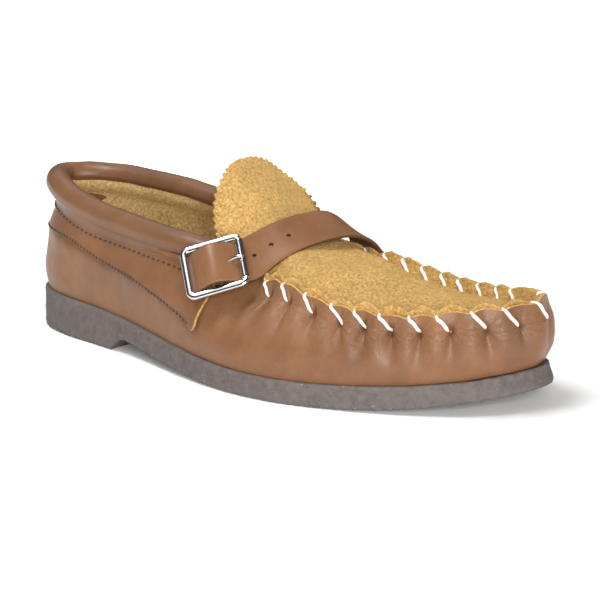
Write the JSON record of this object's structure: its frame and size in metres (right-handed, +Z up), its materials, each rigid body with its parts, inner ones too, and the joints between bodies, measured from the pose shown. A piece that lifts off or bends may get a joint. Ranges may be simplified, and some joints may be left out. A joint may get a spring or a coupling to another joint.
{
  "type": "moccasin",
  "caption": "Slip-on leather moccasin for the right foot with a laced suede apron, pinked tongue, padded collar, instep strap with roller buckle and a moulded rubber sole.",
  "frame": {"origin": "on the ground, in the middle of the shoe's bounding box", "axes": "+Z up, toe towards -Y, outer (lateral, buckle) side of the right foot towards -X"},
  "size_m": [0.1086, 0.287, 0.0945],
  "materials": {
    "sole_rubber": "matte moulded rubber with fine light flecks",
    "brown_leather": "smooth semi-gloss full-grain leather",
    "collar_leather": "smooth soft leather, slightly darker",
    "tan_suede": "rough-napped suede, no gloss",
    "lining_suede": "soft napped lining split",
    "board": "stiff fibre board, matt",
    "foam": "soft open foam, matt",
    "white_lace": "twisted white cord",
    "bright_metal": "bright nickel plate"
  },
  "bodies": {
    "shoe": {"outsole": "sole_rubber", "bottom_filler": "foam", "insole_board": "board", "footbed_foam": "foam", "sock_lining": "lining_suede", "vamp": "brown_leather", "apron": "tan_suede", "quarter_lateral": "brown_leather", "quarter_medial": "brown_leather", "heel_counter": "board", "quarter_lining": "lining_suede", "collar_foam": "foam", "collar_cover": "collar_leather", "backstay": "tan_suede", "whip_lace": "white_lace", "strap": "brown_leather", "chape": "brown_leather"},
    "tongue": {"tongue": "tan_suede"},
    "buckle": {"buckle_frame": "bright_metal"},
    "roller": {"buckle_roller": "bright_metal"},
    "prong": {"buckle_prong": "bright_metal"}
  },
  "joints": [
    {"name": "tongue_fold", "type": "hinge", "parent": "shoe", "child": "tongue", "pos_m": [0.0069, -0.0075, 0.0706], "axis": [1, 0, 0], "range_deg": [-10, 38], "stiffness_Nm_per_rad": 0.02},
    {"name": "buckle_rock", "type": "hinge", "parent": "shoe", "child": "buckle", "pos_m": [-0.0399, -0.0051, 0.0522], "axis": [0.3974, 0.5531, 0.7322], "range_deg": [-1.5, 1.5], "stiffness_Nm_per_rad": 0.05},
    {"name": "prong_lift", "type": "hinge", "parent": "buckle", "child": "prong", "pos_m": [-0.0399, -0.0051, 0.0522], "axis": [-0.3974, -0.5531, -0.7322], "range_deg": [0, 90]},
    {"name": "roller_spin", "type": "hinge", "parent": "buckle", "child": "roller", "pos_m": [-0.03265, -0.01543, 0.05607], "axis": [0.3974, 0.5531, 0.7322], "continuous": true}
  ]
}
